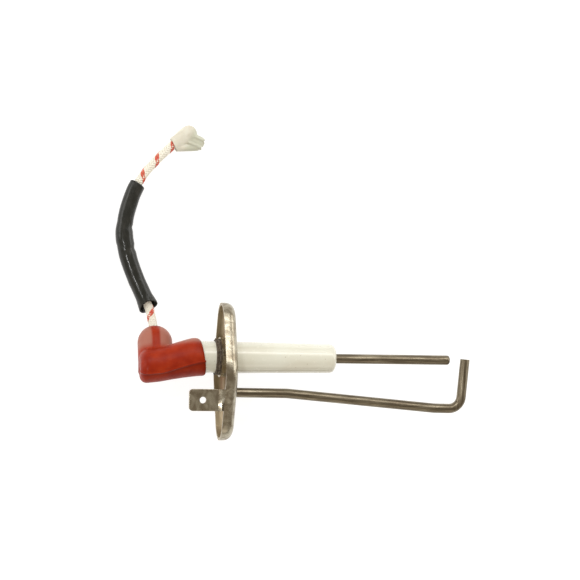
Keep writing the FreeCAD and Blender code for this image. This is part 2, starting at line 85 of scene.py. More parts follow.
LEAD_ROUTE = [
    (-22.1, 6.24, -5.11),
    (-22.1, 15.4, -8.9),
    (-26.7, 24.2, -9.0),
    (-29.9, 32.0, -9.0),
    (-31.6, 39.6, -9.0),
    (-30.6, 46.4, -9.0),
    (-27.9, 54.2, -9.0),
    (-22.7, 61.0, -9.3),
    (-16.3, 66.85, -9.4),
]
LINE_ORDER = 3
LINE_RESOLUTION = 24


def smooth_line(points):
    """Points along the NURBS spline that has the given control points, in metres."""
    data = bpy.data.curves.new("line", "CURVE")
    data.dimensions = "3D"
    data.resolution_u = LINE_RESOLUTION
    spline = data.splines.new("NURBS")
    spline.points.add(len(points) - 1)
    for place, point in zip(spline.points, points):
        place.co = (*(value * MM for value in point), 1)
    spline.order_u = LINE_ORDER
    spline.use_endpoint_u = True
    carrier = bpy.data.objects.new("line", data)
    mesh = bpy.data.meshes.new_from_object(carrier)
    line = [vertex.co.copy() for vertex in mesh.vertices]
    bpy.data.objects.remove(carrier)
    bpy.data.meshes.remove(mesh)
    return line


lead_line = smooth_line(LEAD_ROUTE)


# ---------------------------------------------------------------- lines and meshes

ROUND_COLUMNS = 96
AXIS_GAP = 0.001            # millimetres that keep a turned shape's points apart at its axis


class Path:
    """A line with its distances, headings and untwisted sideways directions."""

    def __init__(self, points):
        self.points = np.array([tuple(point) for point in points], float)
        steps = np.linalg.norm(np.diff(self.points, axis=0), axis=1)
        self.distance = np.concatenate([[0.0], np.cumsum(steps)])
        self.length = self.distance[-1]
        heading = np.gradient(self.points, self.distance, axis=0)
        self.heading = heading / np.linalg.norm(heading, axis=1)[:, None]
        across = np.array((0.0, 0.0, 1.0))
        sides = []
        for direction in self.heading:
            across = across - direction * (across @ direction)
            across = across / np.linalg.norm(across)
            sides.append(across.copy())
        self.side = np.array(sides)

    def sample(self, values, distance):
        """One of the line's vectors at each distance."""
        return np.stack([np.interp(distance, self.distance, values[:, i]) for i in range(3)], axis=-1)

    def place(self, distance, angle, radius):
        """Points beside the line; angle 0 is the sideways direction."""
        distance, angle, radius = np.broadcast_arrays(distance, angle, radius)
        heading = self.sample(self.heading, distance)
        side = self.sample(self.side, distance)
        other = np.cross(heading, side)
        turn = side * np.cos(angle)[..., None] + other * np.sin(angle)[..., None]
        return self.sample(self.points, distance) + turn * radius[..., None]


def turns_round(columns):
    """Angles spread evenly round a circle."""
    return np.linspace(0, 2 * math.pi, columns, endpoint=False)


def grid_faces(rows, columns, first=0):
    """Quads of a grid whose rows are closed rings."""
    faces = []
    for row in range(rows - 1):
        for column in range(columns):
            after = (column + 1) % columns
            low = first + row * columns
            high = low + columns
            faces.append((low + column, low + after, high + after, high + column))
    return faces


def end_faces(rows, columns):
    """The flat faces that close both ends of such a grid."""
    last = (rows - 1) * columns
    return [tuple(reversed(range(columns))), tuple(range(last, last + columns))]


def mesh_of(name, points, faces):
    """Mesh from an array of points and a list of faces."""
    mesh = bpy.data.meshes.new(name)
    mesh.from_pydata(np.asarray(points).reshape(-1, 3).tolist(), [], faces)
    return mesh


def ring_mesh(name, rings):
    """Closed mesh from rings of points; its ends are flat and it faces outward."""
    rows, columns = np.asarray(rings).shape[:2]
    mesh = mesh_of(name, rings, grid_faces(rows, columns) + end_faces(rows, columns))
    face_outward(mesh)
    return mesh


def looped_mesh(name, rings):
    """Mesh from rings of points whose last ring joins the first, such as a thick-walled tube."""
    rows, columns = np.asarray(rings).shape[:2]
    faces = grid_faces(rows, columns)
    last = (rows - 1) * columns
    for column in range(columns):
        after = (column + 1) % columns
        faces.append((last + column, last + after, after, column))
    return mesh_of(name, rings, faces)


def face_outward(mesh):
    """Turn the faces to the outside and shade them smooth."""
    work = bmesh.new()
    work.from_mesh(mesh)
    bmesh.ops.recalc_face_normals(work, faces=work.faces)
    work.to_mesh(mesh)
    work.free()
    mesh.shade_smooth()


def add_object(name, mesh):
    """Object in the scene for a mesh."""
    piece = bpy.data.objects.new(name, mesh)
    bpy.context.scene.collection.objects.link(piece)
    return piece


def dress(mesh, material):
    """Give a whole mesh one material and shade it smooth."""
    mesh.materials.clear()
    mesh.materials.append(material)
    mesh.shade_smooth()


def add_piece(name, mesh, body, material):
    """Piece of the object that rides on a body."""
    face_outward(mesh)
    dress(mesh, material)
    piece = add_object(name, mesh)
    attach(piece, body)
    return piece


def modify(piece, kind, **settings):
    """Apply one modifier to an object's mesh."""
    modifier = piece.modifiers.new(kind, kind)
    for name, value in settings.items():
        setattr(modifier, name, value)
    bpy.context.view_layer.update()
    shape = piece.evaluated_get(bpy.context.evaluated_depsgraph_get())
    mesh = bpy.data.meshes.new_from_object(shape)
    piece.modifiers.clear()
    old = piece.data
    piece.data = mesh
    bpy.data.meshes.remove(old)


def cut_with(piece, tool_mesh):
    """Cut a mesh from an object."""
    face_outward(tool_mesh)
    tool = add_object("tool", tool_mesh)
    modify(piece, "BOOLEAN", operation="DIFFERENCE", object=tool, solver="EXACT")
    bpy.data.objects.remove(tool)
    bpy.data.meshes.remove(tool_mesh)


def lathe(profile, origin, axis, columns=ROUND_COLUMNS):
    """Closed mesh turned about an axis, from (distance, radius) points in millimetres."""
    axis = Vector(axis).normalized()
    side = axis.orthogonal().normalized()
    other = axis.cross(side)
    rings = []
    for distance, radius in profile:
        centre = Vector(origin) + axis * distance
        reach = max(radius, AXIS_GAP)
        rings.append([(centre + (side * math.cos(angle) + other * math.sin(angle)) * reach) * MM
                      for angle in turns_round(columns)])
    return ring_mesh("lathe", rings)


def joined(meshes, name):
    """One object from several meshes."""
    work = bmesh.new()
    for mesh in meshes:
        work.from_mesh(mesh)
        bpy.data.meshes.remove(mesh)
    mesh = bpy.data.meshes.new(name)
    work.to_mesh(mesh)
    work.free()
    return add_object(name, mesh)


def vertices_of(mesh):
    """The mesh's vertices as an array."""
    found = np.zeros(len(mesh.vertices) * 3)
    mesh.vertices.foreach_get("co", found)
    return found.reshape(-1, 3)


def normals_of(mesh):
    """The mesh's vertex normals as an array."""
    found = np.zeros(len(mesh.vertices) * 3)
    mesh.vertex_normals.foreach_get("vector", found)
    return found.reshape(-1, 3)


def paint(piece, name, values):
    """Value for each vertex that the material reads."""
    layer = piece.data.attributes.new(name, "FLOAT", "POINT")
    layer.data.foreach_set("value", np.asarray(values, dtype=np.float32))


def smooth_step(value, start, end):
    """0 at start, 1 at end, smooth between them and level outside; start may be the larger one."""
    share = np.clip((value - start) / (end - start), 0, 1)
    return share * share * (3 - 2 * share)


def end_rounding(distance, rounding):
    """How far a rounded end draws in at a distance from it."""
    inside = np.clip(rounding - distance, 0, rounding)
    return rounding - np.sqrt(rounding ** 2 - inside ** 2)


def wrinkle(points, size, seed):
    """Noise from -1 to 1 at each point."""
    shift = Vector((seed * 7.3, seed * 3.1, seed * 5.7))
    values = [noise.noise(Vector(point) + shift) for point in points.reshape(-1, 3) / size]
    return np.array(values).reshape(points.shape[:-1])


# ---------------------------------------------------------------- materials

class Finish:
    """A node material built up from procedural layers; lengths are in millimetres."""

    def __init__(self, name, colour, roughness, metallic=0.0, **sockets):
        self.material = bpy.data.materials.new(name)
        self.material.use_nodes = True
        self.nodes = self.material.node_tree.nodes
        self.links = self.material.node_tree.links
        self.shader = self.nodes["Principled BSDF"]
        self.coordinates = self.nodes.new("ShaderNodeTexCoord")
        self.set("Base Color", (*colour, 1))
        self.set("Roughness", roughness)
        self.set("Metallic", metallic)
        for socket, value in sockets.items():
            self.set(socket.replace("_", " "), value)

    def set(self, socket, value):
        """Constant on the shader's own socket."""
        self.shader.inputs[socket].default_value = value

    def drive(self, socket, output):
        """Link a layer to one of the shader's sockets."""
        self.links.new(output, self.shader.inputs[socket])

    def place(self, size, source="Object"):
        """Coordinates in which a feature of the given size along each axis is one unit."""
        mapping = self.nodes.new("ShaderNodeMapping")
        scale = MM if source == "Object" else 1
        mapping.inputs["Scale"].default_value = [1 / (length * scale) for length in size]
        self.links.new(self.coordinates.outputs[source], mapping.inputs["Vector"])
        return mapping.outputs["Vector"]

    def noise(self, size, detail=3.0, source="Object", distortion=0.0):
        """Noise whose features have the given size along each axis."""
        node = self.nodes.new("ShaderNodeTexNoise")
        node.inputs["Scale"].default_value = 1
        node.inputs["Detail"].default_value = detail
        node.inputs["Distortion"].default_value = distortion
        self.links.new(self.place(size, source), node.inputs["Vector"])
        return node.outputs["Fac"]

    def spots(self, size):
        """Distance from the nearest of scattered points."""
        node = self.nodes.new("ShaderNodeTexVoronoi")
        node.inputs["Scale"].default_value = 1
        self.links.new(self.place(size), node.inputs["Vector"])
        return node.outputs["Distance"]

    def attribute(self, name):
        """Value painted on the mesh."""
        node = self.nodes.new("ShaderNodeAttribute")
        node.attribute_name = name
        return node.outputs["Fac"]

    def beyond(self, limits):
        """From nothing to one between two places along x, in millimetres."""
        split = self.nodes.new("ShaderNodeSeparateXYZ")
        self.links.new(self.coordinates.outputs["Object"], split.inputs["Vector"])
        switch = self.nodes.new("ShaderNodeMapRange")
        switch.inputs["From Min"].default_value = limits[0] * MM
        switch.inputs["From Max"].default_value = limits[1] * MM
        self.links.new(split.outputs["X"], switch.inputs["Value"])
        return switch.outputs["Result"]

    def turned_inward(self):
        """One where the surface faces the object's long axis, through the probe; nothing elsewhere."""
        across = self.nodes.new("ShaderNodeVectorMath")
        across.operation = "MULTIPLY"
        across.inputs[1].default_value = (0, 1 / MM, 1 / MM)
        self.links.new(self.coordinates.outputs["Object"], across.inputs[0])
        facing = self.nodes.new("ShaderNodeVectorMath")
        facing.operation = "DOT_PRODUCT"
        self.links.new(across.outputs["Vector"], facing.inputs[0])
        self.links.new(self.coordinates.outputs["Normal"], facing.inputs[1])
        switch = self.nodes.new("ShaderNodeMapRange")
        switch.inputs["From Min"].default_value = 0.5
        switch.inputs["From Max"].default_value = -0.5
        self.links.new(facing.outputs["Value"], switch.inputs["Value"])
        return switch.outputs["Result"]

    def ramp(self, value, *stops):
        """Colour or grey for a value, from (place, colour) stops."""
        node = self.nodes.new("ShaderNodeValToRGB")
        elements = node.color_ramp.elements
        while len(elements) < len(stops):
            elements.new(0.5)
        for element, (place, colour) in zip(elements, stops):
            element.position = place
            element.color = (colour, colour, colour, 1) if isinstance(colour, float) else (*colour, 1)
        self.links.new(value, node.inputs["Fac"])
        return node.outputs["Color"]

    def mix(self, factor, first, second):
        """Two colours mixed by a factor; each is a layer or a constant colour."""
        node = self.nodes.new("ShaderNodeMixRGB")
        for socket, value in zip(node.inputs, (factor, first, second)):
            if isinstance(value, bpy.types.NodeSocket):
                self.links.new(value, socket)
            elif isinstance(value, float):
                socket.default_value = value
            else:
                socket.default_value = (*value, 1)
        return node.outputs["Color"]

    def bump(self, *layers):
        """Relief from (height layer, depth in millimetres) pairs, one over another."""
        previous = None
        for height, depth in layers:
            node = self.nodes.new("ShaderNodeBump")
            node.inputs["Distance"].default_value = depth * MM
            self.links.new(height, node.inputs["Height"])
            if previous:
                self.links.new(previous, node.inputs["Normal"])
            previous = node.outputs["Normal"]
        self.drive("Normal", previous)


def nickel_plate():
    """Warm nickel on pressed steel: drawing marks, stains, and painted shade on its inward side, which is
    browner and duller.
    """
    look = Finish("nickel_plate", (0.60, 0.54, 0.43), 0.26, 1.0)
    inward = look.turned_inward()
    stain = look.ramp(look.noise((2.6, 3.4, 2.6), 5, distortion=1.2),
                      (0.38, (0.43, 0.395, 0.31)), (0.62, (0.26, 0.22, 0.16)))
    # painted shade in the flange's hollow: surfaces facing inward are painted browner
    look.drive("Base Color", look.mix(inward, stain, (0.52, 0.44, 0.30)))
    sheen = look.ramp(look.noise((2.5, 1.2, 2.5), 3), (0.35, 0.22), (0.7, 0.34))
    look.drive("Roughness", look.mix(inward, sheen, (0.50, 0.50, 0.50)))
    look.bump((look.noise((3.2, 3.2, 3.2), 2), 0.10), (look.noise((1.4, 0.9, 1.4), 2), 0.035))
    return look.material


HOOK_BEND = (65.5, 67.5)    # x where the earth rod turns up


def rod_steel():
    """Heat-resistant wire: dull brown streaks along its length, also past the hook's bend."""
    look = Finish("rod_steel", (0.42, 0.36, 0.27), 0.34, 1.0)
    hook = look.beyond(HOOK_BEND)

    def drawn(length, width, detail):
        straight = look.noise((length, width, width), detail)
        return look.mix(hook, straight, look.noise((width, length, width), detail))

    streak = look.ramp(drawn(9, 0.6, 3), (0.38, (0.145, 0.12, 0.083)), (0.52, (0.20, 0.17, 0.12)),
                       (0.70, (0.32, 0.28, 0.205)))
    patch = look.ramp(look.noise((4, 2, 2), 4), (0.5, 0.0), (0.72, 0.6))
    look.drive("Base Color", look.mix(patch, streak, (0.17, 0.135, 0.095)))
    look.drive("Roughness", look.ramp(drawn(5, 0.4, 3), (0.35, 0.26), (0.7, 0.46)))
    look.bump((drawn(6, 0.4, 2), 0.02), (look.noise((1.5, 0.8, 0.8), 2), 0.02))
    return look.material


def alumina():
    """Glazed white ceramic: faint grinding rings, a few specks, slightly stained."""
    look = Finish("alumina", (0.76, 0.74, 0.64), 0.20, Coat_Weight=0.7, Coat_Roughness=0.05)
    cloud = look.ramp(look.noise((9, 5, 5), 3), (0.35, (0.755, 0.76, 0.66)), (0.7, (0.71, 0.695, 0.585)))
    speck = look.ramp(look.spots((2.2, 2.2, 2.2)), (0.05, 0.5), (0.09, 0.0))
    look.drive("Base Color", look.mix(speck, cloud, (0.38, 0.30, 0.20)))
    look.drive("Roughness", look.ramp(look.noise((1.5, 1.5, 1.5), 4), (0.3, 0.16), (0.7, 0.30)))
    look.bump((look.noise((0.8, 8, 8), 2), 0.006), (look.noise((4, 4, 4), 2), 0.02))
    return look.material


def red_silicone():
    """Brick-red moulded silicone: bloomed in places, painted sheen on the spout's sides, painted shade
    under the seam, grey-brown at the wire's hole.
    """
    look = Finish("red_silicone", (0.31, 0.020, 0.003), 0.46, Subsurface_Weight=0.03,
                  Specular_IOR_Level=0.13, Coat_Weight=0.06, Coat_Roughness=0.25)
    look.shader.inputs["Subsurface Radius"].default_value = (0.0012, 0.0004, 0.0002)
    mottle = look.ramp(look.noise((4, 4, 4), 4),
                       (0.35, (0.26, 0.014, 0.0015)), (0.65, (0.35, 0.028, 0.004)))
    bloom_and_sheen = look.ramp(look.noise((1.1, 1.1, 1.1), 5), (0.5, 0.0), (0.8, 0.10))
    skin = look.mix(bloom_and_sheen, mottle, (0.42, 0.10, 0.06))
    # painted sheen: the spout's left and right sides are painted pale pink
    skin = look.mix(look.attribute("bloom_and_sheen"), skin, (0.41, 0.19, 0.14))
    # painted shade: darker below the seam
    skin = look.mix(look.attribute("crease"), skin, (0.13, 0.009, 0.003))
    # grey-brown tint round the wire's hole
    look.drive("Base Color", look.mix(look.attribute("hole_rim_tint"), skin, (0.16, 0.11, 0.08)))
    look.drive("Roughness", look.ramp(look.noise((0.8, 0.8, 0.8), 5), (0.35, 0.33), (0.7, 0.50)))
    look.bump((look.noise((2.6, 2.6, 2.6), 2), 0.06), (look.noise((0.22, 0.22, 0.22), 4), 0.008))
    return look.material


def black_sleeving():
    """Varnished black sleeving: smooth, glossy, rubbed along its length."""
    look = Finish("black_sleeving", (0.022, 0.022, 0.020), 0.30, Specular_IOR_Level=0.35)
    rub = look.ramp(look.noise((1.6, 4, 1.6), 5),
                    (0.5, (0.017, 0.018, 0.015)), (0.75, (0.034, 0.033, 0.028)))
    look.drive("Base Color", rub)
    look.drive("Roughness", look.ramp(look.noise((1.2, 3.5, 1.2), 4), (0.35, 0.20), (0.7, 0.32)))
    look.bump((look.noise((1.4, 3.0, 1.4), 3), 0.02), (look.noise((0.25, 0.5, 0.25), 3), 0.004))
    return look.material


def glass_yarn(name, pale, deep):
    """Twisted glass yarn: fibres along it, uneven in colour."""
    look = Finish(name, pale, 0.62, Sheen_Weight=0.25, Sheen_Roughness=0.5)
    strand = look.noise((3.0, 0.11, 1), 4, "UV")
    shade = look.ramp(look.noise((0.9, 0.9, 0.9), 4), (0.35, 0.1), (0.7, 0.9))
    look.drive("Base Color", look.mix(shade, pale, deep))
    look.drive("Roughness", look.ramp(strand, (0.3, 0.5), (0.7, 0.75)))
    look.bump((strand, 0.04))
    return look.material


def milky_cover():
    """Milky soft plastic; a little greyer and greener where the terminal shows through."""
    look = Finish("milky_cover", (0.76, 0.70, 0.58), 0.34, Subsurface_Weight=0.15, Specular_IOR_Level=0.4)
    look.shader.inputs["Subsurface Radius"].default_value = (0.0008, 0.0007, 0.0005)
    cloud = look.ramp(look.noise((2.5, 2.5, 2.5), 4), (0.35, (0.74, 0.72, 0.62)), (0.7, (0.66, 0.62, 0.51)))
    look.drive("Base Color", look.mix(look.attribute("terminal"), cloud, (0.56, 0.57, 0.46)))
    look.drive("Roughness", look.ramp(look.noise((1, 1, 1), 4), (0.35, 0.26), (0.7, 0.42)))
    look.bump((look.noise((1.8, 1.8, 1.8), 3), 0.05))
    return look.material


def bright_metal(name, colour, roughness, tarnish):
    """Small metal piece: slightly brushed, tarnished in places."""
    look = Finish(name, colour, roughness, 1.0)
    patch = look.ramp(look.noise((1.3, 1.3, 1.3), 4), (0.45, 0.0), (0.72, 0.7))
    look.drive("Base Color", look.mix(patch, colour, tarnish))
    brushing = look.noise((0.8, 0.3, 0.8), 4)
    look.drive("Roughness", look.ramp(brushing, (0.35, roughness - 0.06), (0.7, roughness + 0.14)))
    look.bump((look.noise((0.15, 0.8, 0.8), 3), 0.008))
    return look.material


def gritty(name, colour, dark, grain):
    """Rough mineral or fibrous piece."""
    look = Finish(name, colour, 0.88)
    shade = look.ramp(look.noise(grain, 5), (0.35, 0.0), (0.65, 1.0))
    look.drive("Base Color", look.mix(shade, colour, dark))
    look.drive("Roughness", look.ramp(look.noise((0.5, 0.5, 0.5), 3), (0.3, 0.78), (0.7, 0.95)))
    look.bump((look.noise(grain, 4), 0.08))
    return look.material


MATERIALS = {
    "nickel_plate": nickel_plate(),
    "dark_packing": gritty("dark_packing", (0.15, 0.115, 0.080), (0.035, 0.027, 0.019), (0.4, 0.6, 0.6)),
    "alumina": alumina(),
    "rod_steel": rod_steel(),
    "stud_steel": bright_metal("stud_steel", (0.56, 0.54, 0.50), 0.28, (0.36, 0.30, 0.22)),
    "cement": gritty("cement", (0.44, 0.41, 0.35), (0.24, 0.21, 0.17), (0.3, 0.3, 0.3)),
    "weld_metal": bright_metal("weld_metal", (0.34, 0.29, 0.24), 0.42, (0.10, 0.09, 0.13)),
    "red_silicone": red_silicone(),
    "tinned_brass": bright_metal("tinned_brass", (0.66, 0.64, 0.58), 0.27, (0.50, 0.43, 0.28)),
    "spring_steel": bright_metal("spring_steel", (0.50, 0.50, 0.50), 0.25, (0.30, 0.26, 0.22)),
    "milky_cover": milky_cover(),
    "black_sleeving": black_sleeving(),
    "glass_braid": glass_yarn("glass_braid", (0.92, 0.90, 0.80), (0.82, 0.78, 0.66)),
    "copper_strand": bright_metal("copper_strand", (0.80, 0.42, 0.26), 0.30, (0.35, 0.16, 0.09)),
}
TRACER = glass_yarn("red_tracer", (0.68, 0.060, 0.035), (0.60, 0.16, 0.08))


SLOT_OF = {part["node"]: part["material_slot"] for part in frame["record"]["subparts"]}


def dress_frame():
    """Give each carried-over node the finish of its material slot."""
    for name, node in NODES.items():
        for slot in node.material_slots:
            slot.material = MATERIALS[SLOT_OF[name]]


dress_frame()


# ---------------------------------------------------------------- lead: braided wire

CORE_RADIUS = 1.06 * MM
CORE_ROWS = 260
CORE_COLUMNS = 20
BRAID_RADIUS = 1.13 * MM
BRAID_PITCH = 6.3 * MM
WEAVE_HEIGHT = 0.06 * MM
TRACER_RISE = 0.09 * MM     # the coloured yarn is thicker than the others
CARRIERS = 8                # in each direction
TRACERS = (0, 1)            # carriers with coloured yarn
YARN_WIDTH = 0.60 * MM
YARN_HEIGHT = 0.13 * MM
FINE_STEP = 0.13 * MM       # along the wire where it shows
COARSE_STEP = BRAID_PITCH / (2 * CARRIERS)
YARN_LEAN = math.atan2(2 * math.pi * BRAID_RADIUS, BRAID_PITCH)
YARN_SECTION = np.array(((-1, 0), (-0.55, 0.75), (0, 1), (0.55, 0.75), (1, 0), (0, -0.4)))
WIRES = (                   # start, end, the stretch that shows, and the tracer's turn, phase and shift
    (0.0, 33.7 * MM, (5.0 * MM, 15.0 * MM), 1, 1.5, 0.0),
    (34.3 * MM, 67.8 * MM, (48.5 * MM, 67.8 * MM), -1, -1.6, 1.3 * MM),
)


def yarn_rows(start, end, shown):
    """Distances along a wire, closer together where it shows."""
    return np.concatenate([
        np.arange(start, shown[0] - COARSE_STEP / 2, COARSE_STEP),
        np.arange(shown[0], shown[1], FINE_STEP),
        np.arange(shown[1], end + COARSE_STEP / 2, COARSE_STEP),
    ])[:, None]


def braid_core(path):
    """Points, texture places and faces of the round core under the yarns."""
    rows = np.linspace(0, path.length, CORE_ROWS)[:, None]
    around = turns_round(CORE_COLUMNS)[None, :]
    points = path.place(rows, around, CORE_RADIUS)
    texture = np.stack(np.broadcast_arrays(rows / MM, around), -1)
    faces = grid_faces(CORE_ROWS, CORE_COLUMNS) + end_faces(CORE_ROWS, CORE_COLUMNS)
    return points.reshape(-1, 3), texture.reshape(-1, 2), faces


def yarn(path, rows, turns, turn, carrier, phase, rise):
    """Points and texture places of one yarn that winds its way over and under the others."""
    crossing = 2 * CARRIERS * turns
    weave = WEAVE_HEIGHT * np.cos(math.pi / 2 * (crossing + turn * 2 * carrier - 0.5 * turn))
    angle = 2 * math.pi * (turn * turns + carrier / CARRIERS) + phase
    across = YARN_SECTION[None, :, 0] * YARN_WIDTH / 2
    radius = BRAID_RADIUS + turn * weave + rise + YARN_SECTION[None, :, 1] * YARN_HEIGHT
    spread = across * math.cos(YARN_LEAN) / BRAID_RADIUS
    slide = -turn * across * math.sin(YARN_LEAN)
    points = path.place(rows + slide, angle + spread, radius)
    along = rows / math.cos(YARN_LEAN) / MM
    texture = np.stack(np.broadcast_arrays(along, across / MM), -1)
    return points.reshape(-1, 3), texture.reshape(-1, 2)


def braid_parts(path):
    """Points, texture places, faces and material number of the core and of every yarn."""
    parts = [(*braid_core(path), 0)]
    made = len(parts[0][0])
    for start, end, shown, tracer_turn, phase, shift in WIRES:
        rows = yarn_rows(start, end, shown)
        turns = (rows - start - shift) / BRAID_PITCH
        for turn, carrier in itertools.product((1, -1), range(CARRIERS)):
            red = turn == tracer_turn and carrier in TRACERS
            points, texture = yarn(path, rows, turns, turn, carrier, phase, red * TRACER_RISE)
            parts.append((points, texture, grid_faces(len(rows), len(YARN_SECTION), made), int(red)))
            made += len(points)
    return parts


def lead_braid(path):
    """One mesh: a round core under yarns that run both ways round it, over and under each other."""
    points, texture, faces, colours = zip(*braid_parts(path))
    mesh = mesh_of("lead_braid", np.concatenate(points), list(itertools.chain(*faces)))
    mesh.polygons.foreach_set("material_index", np.repeat(colours, [len(part) for part in faces]))
    corners = np.zeros(len(mesh.loops), np.int32)
    mesh.loops.foreach_get("vertex_index", corners)
    mesh.uv_layers.new(name="yarn").data.foreach_set("uv", np.concatenate(texture)[corners].ravel())
    mesh.materials.append(MATERIALS["glass_braid"])
    mesh.materials.append(TRACER)
    mesh.shade_smooth()
    piece = add_object("lead_braid", mesh)
    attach(piece, "lead")
    return piece


lead_path = Path(lead_line)
braid = lead_braid(lead_path)
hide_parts("lead_wire_lower", "lead_wire_upper")


# ---------------------------------------------------------------- lead: black sleeve

SURFACE_Z = -11.5 * MM      # what the part lies on
SLEEVE_START = 12.9 * MM
SLEEVE_END = 50.6 * MM
SLEEVE_RADIUS = 2.36 * MM
SLEEVE_WALL = 0.42 * MM
SPLICE = (30.7 * MM, 37.3 * MM)     # the joint that swells and creases the sleeve
SPLICE_SWELL = 0.22 * MM
SWELL_BLEND = 1.5 * MM
SHOULDER_LENGTH = 8 * MM    # over which the sleeve narrows from the joint towards the boot
CREASES = ((SPLICE[0], math.pi / 2), (SPLICE[1], math.pi / 2 + 0.3))    # place and side
CREASE_DEPTH = 0.20 * MM
CREASE_WIDTH = 0.9 * MM
LIP_OFFSET = 1.6 * CREASE_WIDTH     # of the bulge beside each crease
FLARE = 0.42 * MM
FLARE_LENGTH = 4.0 * MM
LOWER_SLANT = 1.25 * MM
UPPER_SLANT = 0.25 * MM
EDGE_LENGTH = 0.4 * SLEEVE_WALL     # over which the cut edges are rounded
SLEEVE_WRINKLES = ((0.07 * MM, 2.4 * MM, 1), (0.025 * MM, 0.8 * MM, 2))     # depth, size and seed
SLEEVE_ROWS = 230
SLEEVE_COLUMNS = 56


def sleeve_radius(distance, angle):
    """Outer radius: swollen over the joint, creased at its ends, opened at the lower end."""
    swollen = smooth_step(distance, SPLICE[1] + SWELL_BLEND, SPLICE[1] - SWELL_BLEND)
    radius = SLEEVE_RADIUS + SPLICE_SWELL * swollen
    radius = radius - 0.5 * SPLICE_SWELL * smooth_step(distance, SPLICE[0], SPLICE[0] - SHOULDER_LENGTH)
    for place, side in CREASES:
        crease = np.exp(-((distance - place) / CREASE_WIDTH) ** 2)
        radius = radius - CREASE_DEPTH * crease * (0.6 + 0.4 * np.cos(angle - side))
        lip = np.exp(-((distance - place - LIP_OFFSET) / CREASE_WIDTH) ** 2)
        radius = radius + 0.5 * CREASE_DEPTH * lip * np.cos(angle - side)
    return radius + FLARE * smooth_step(distance, SLEEVE_START + FLARE_LENGTH, SLEEVE_START)


def black_sleeve(path):
    """Soft tube with a wall: wrinkled, cut at a slant at its lower end, resting on the surface."""
    angle = turns_round(SLEEVE_COLUMNS)[None, :]
    share = np.linspace(0, 1, SLEEVE_ROWS)[:, None]
    start = SLEEVE_START + LOWER_SLANT * (np.cos(angle) + 0.25 * np.cos(2 * angle + 0.8))
    end = SLEEVE_END + UPPER_SLANT * np.cos(angle + 0.7)
    distance = start + (end - start) * share
    centre = path.place(distance, angle, SLEEVE_RADIUS)
    soft = sum(depth * wrinkle(centre, size, seed) for depth, size, seed in SLEEVE_WRINKLES)
    outer = sleeve_radius(distance, angle) + soft
    inward = 1 - np.clip(np.minimum(distance - start, end - distance) / EDGE_LENGTH, 0, 1)
    rounding = 0.5 * SLEEVE_WALL * (1 - np.sqrt(1 - inward ** 2))
    outside = path.place(distance, angle, outer - rounding)
    outside[..., 2] = np.maximum(outside[..., 2], SURFACE_Z)
    inside = path.place(distance, angle, outer - SLEEVE_WALL + rounding)
    rings = np.concatenate([outside, inside[::-1]])
    piece = add_piece("sleeve", looped_mesh("sleeve", rings), "lead",
                      MATERIALS["black_sleeving"])
    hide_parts("insulation_sleeve")
    return piece


sleeve = black_sleeve(lead_path)


# ---------------------------------------------------------------- boot

BOOT_VOXEL = 0.22 * MM
BOOT_SMOOTHING = 5          # rounds
PROBE_Y = 4.15
BOOT_LINE = (               # x, centre and radius along the mouth and the body
    (-8.9, 4.05, 5.5),
    (-10.9, 4.0, 5.62),
    (-12.8, 3.65, 5.5),
    (-15.5, 3.1, 5.3),
    (-18.4, 2.4, 5.15),
    (-21.3, 1.7, 5.08),
    (-27.3, 0.95, 5.0),
)
BOOT_LIP = 1.0
MOUTH_TILT = 0.153          # the mouth is square to the drooping body
MOUTH_TILT_REACH = (-22.0, -13.0)   # pairs like this one are the two ends of a smooth step
BOOT_SLICES = 80
BOOT_END_ROUNDING = 2.4
SPOUT_RADIUS = 5.05
SPOUT_START = -2.2
SPOUT_HEEL = 1.6
SPOUT_DOME = 6.8
SPOUT_FACE = 11.3
SPOUT_ORIGIN_DISTANCE = 5.0
MOUTH_BORE = 4.68
MOUTH_BORE_END = -13.6
MOUTH_CLEARANCE = 2         # by which a cut starts outside the face that it opens
SPOUT_CLEARANCE = 1
WIRE_BORE = 1.42
WIRE_BORE_FLARE = 0.7
WIRE_BORE_COLUMNS = 40
FLARE_DEPTH = 0.6
HEEL_STEPS = 8
DOME_STEPS = 14
SEAM_LINE = ((-20.0, -9.0), (-25.0, -12.0))     # the moulding seam: x, and angle down from the upper side
SEAM_HEIGHT = 0.24 * MM
SEAM_WIDTH = 0.24 * MM
SEAM_FADE = (2.0 * MM, 3.5 * MM)    # it shows only this far out from the body's centre line
SEAM_BLEND = 0.03
LOWER_HALF_END = (-2.6, -2.4)       # angle at which the lower half ends on the underside
MOULD_STEP = 0.25 * MM              # the moulding's lower half reaches further at the mouth
MOULD_STEP_REACH = (-12.0, -9.5)
MOULD_SHRINK = 0.20 * MM            # and is a little smaller
# painted shade: the boot's lower half is painted darker, most in a line just under the seam
SHADE_LINE_REACH = 0.8 * MM             # of the painted shade line just under the seam
CREASE_SHADE = 0.4
SHADE_FADE = (2.5 * MM, 4.0 * MM)
BOOT_WRINKLE = (0.05 * MM, 4.5 * MM, 5)     # depth, size and seed
# painted sheen on the spout: the strip that it leaves out, its strength, and where it starts
SHEEN_GAP_OFFSET = 0.3                 # of the strip down the spout's middle that the painted sheen leaves out
SHEEN_GAP_WIDTH = (0.8, 1.6)
SHEEN_STRENGTH = 0.75
SHEEN_START = (3.0, 5.5)            # along the spout
SHEEN_CLEAR = (2.0, 3.5)            # and out from its axis
# grey-brown tint round the wire's hole: how far out from the spout's axis it reaches
HOLE_RIM_REACH = (2.3, 1.5)
HOLE_RIM_DEPTH = (1.5, 0.8)            # behind the spout's face


